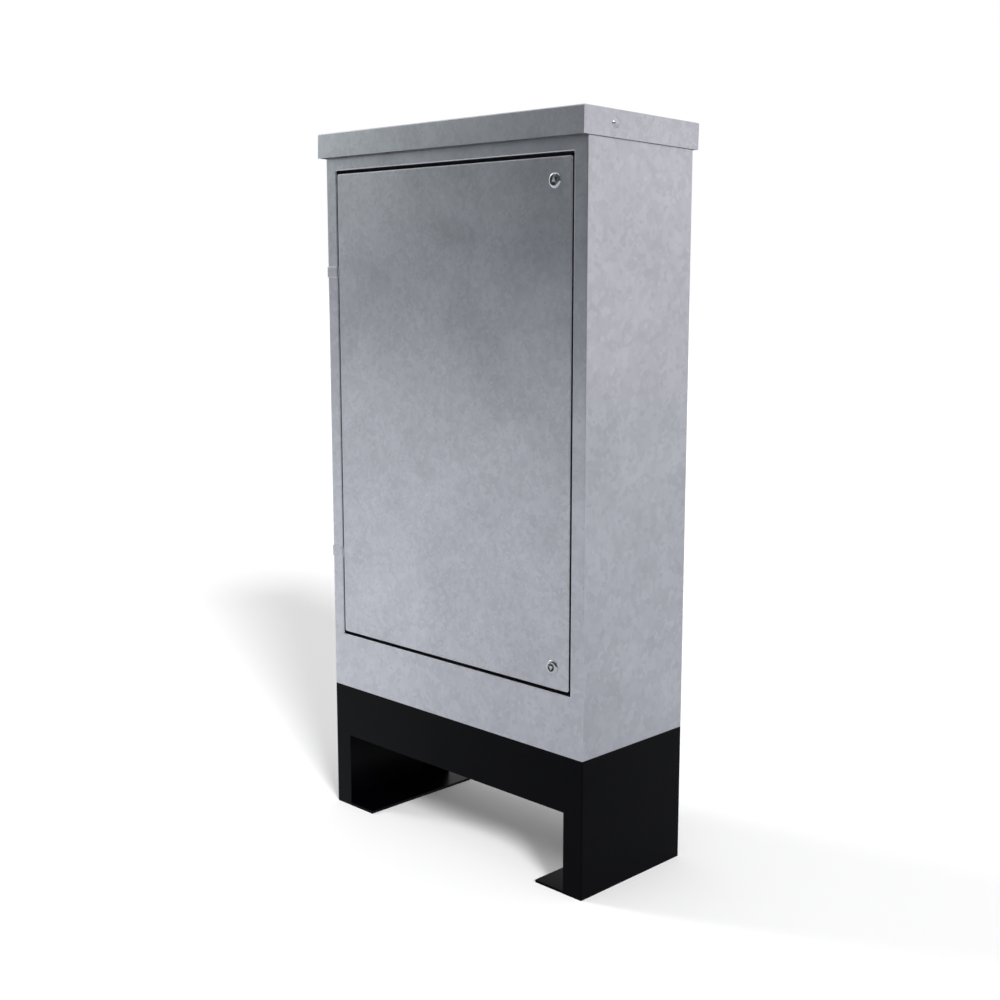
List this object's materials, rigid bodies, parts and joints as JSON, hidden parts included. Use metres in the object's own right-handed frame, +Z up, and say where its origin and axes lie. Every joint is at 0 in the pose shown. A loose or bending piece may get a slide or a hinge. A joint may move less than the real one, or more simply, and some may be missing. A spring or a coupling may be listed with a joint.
{
  "type": "feeder pillar",
  "caption": "Galvanised steel electrical feeder pillar with a flush hinged door, quarter-turn locks, a sloping lid and a black root with cable cut-outs.",
  "frame": {"origin": "on the ground under the middle of the casing", "axes": "+Z up, the door faces -Y, +X to the right seen from the front"},
  "size_m": [0.821, 0.3548, 1.5939],
  "materials": {
    "galvanised_steel": "hot-dip galvanised, soft cloudy spangle",
    "black_paint": "satin black",
    "bright_chrome": "polished",
    "zinc_plated_steel": "bright zinc plate",
    "seal_rubber": "matt foam rubber",
    "plywood": "sanded"
  },
  "bodies": {
    "pillar": {"casing_shell": "galvanised_steel", "front_frame": "galvanised_steel", "lid": "galvanised_steel", "lid_bolts": "bright_chrome", "lid_spacers": "zinc_plated_steel", "lid_washers": "zinc_plated_steel", "lid_nuts": "zinc_plated_steel", "root_shell": "black_paint", "left_foot_plate": "black_paint", "right_foot_plate": "black_paint", "upper_hinge_leaf": "galvanised_steel", "lower_hinge_leaf": "galvanised_steel", "upper_hinge_pin": "zinc_plated_steel", "lower_hinge_pin": "zinc_plated_steel", "door_seal": "seal_rubber", "backboard": "plywood", "upper_board_rail": "galvanised_steel", "lower_board_rail": "galvanised_steel", "board_screws": "zinc_plated_steel", "casing_earth_stud": "zinc_plated_steel", "casing_earth_washers": "zinc_plated_steel", "casing_earth_nuts": "zinc_plated_steel"},
    "door": {"door": "galvanised_steel", "upper_hinge_strap": "galvanised_steel", "lower_hinge_strap": "galvanised_steel", "door_earth_stud": "zinc_plated_steel", "door_earth_washers": "zinc_plated_steel", "door_earth_nuts": "zinc_plated_steel", "upper_lock_housing": "bright_chrome", "lower_lock_housing": "bright_chrome", "upper_lock_nut": "zinc_plated_steel", "lower_lock_nut": "zinc_plated_steel"},
    "upper_lock": {"upper_lock_plug": "bright_chrome", "upper_lock_cam": "zinc_plated_steel", "upper_cam_screw": "zinc_plated_steel"},
    "lower_lock": {"lower_lock_plug": "bright_chrome", "lower_lock_cam": "zinc_plated_steel", "lower_cam_screw": "zinc_plated_steel"}
  },
  "joints": [
    {"name": "door_hinge", "type": "hinge", "parent": "pillar", "child": "door", "pos_m": [-0.4049, -0.1515, 0.97], "axis": [0, 0, -1], "range_deg": [0, 160]},
    {"name": "upper_lock_turn", "type": "hinge", "parent": "door", "child": "upper_lock", "pos_m": [0.3145, -0.1625, 1.4585], "axis": [0, -1, 0], "range_deg": [0, 90]},
    {"name": "lower_lock_turn", "type": "hinge", "parent": "door", "child": "lower_lock", "pos_m": [0.3145, -0.1625, 0.4815], "axis": [0, 1, 0], "range_deg": [0, 90]}
  ]
}
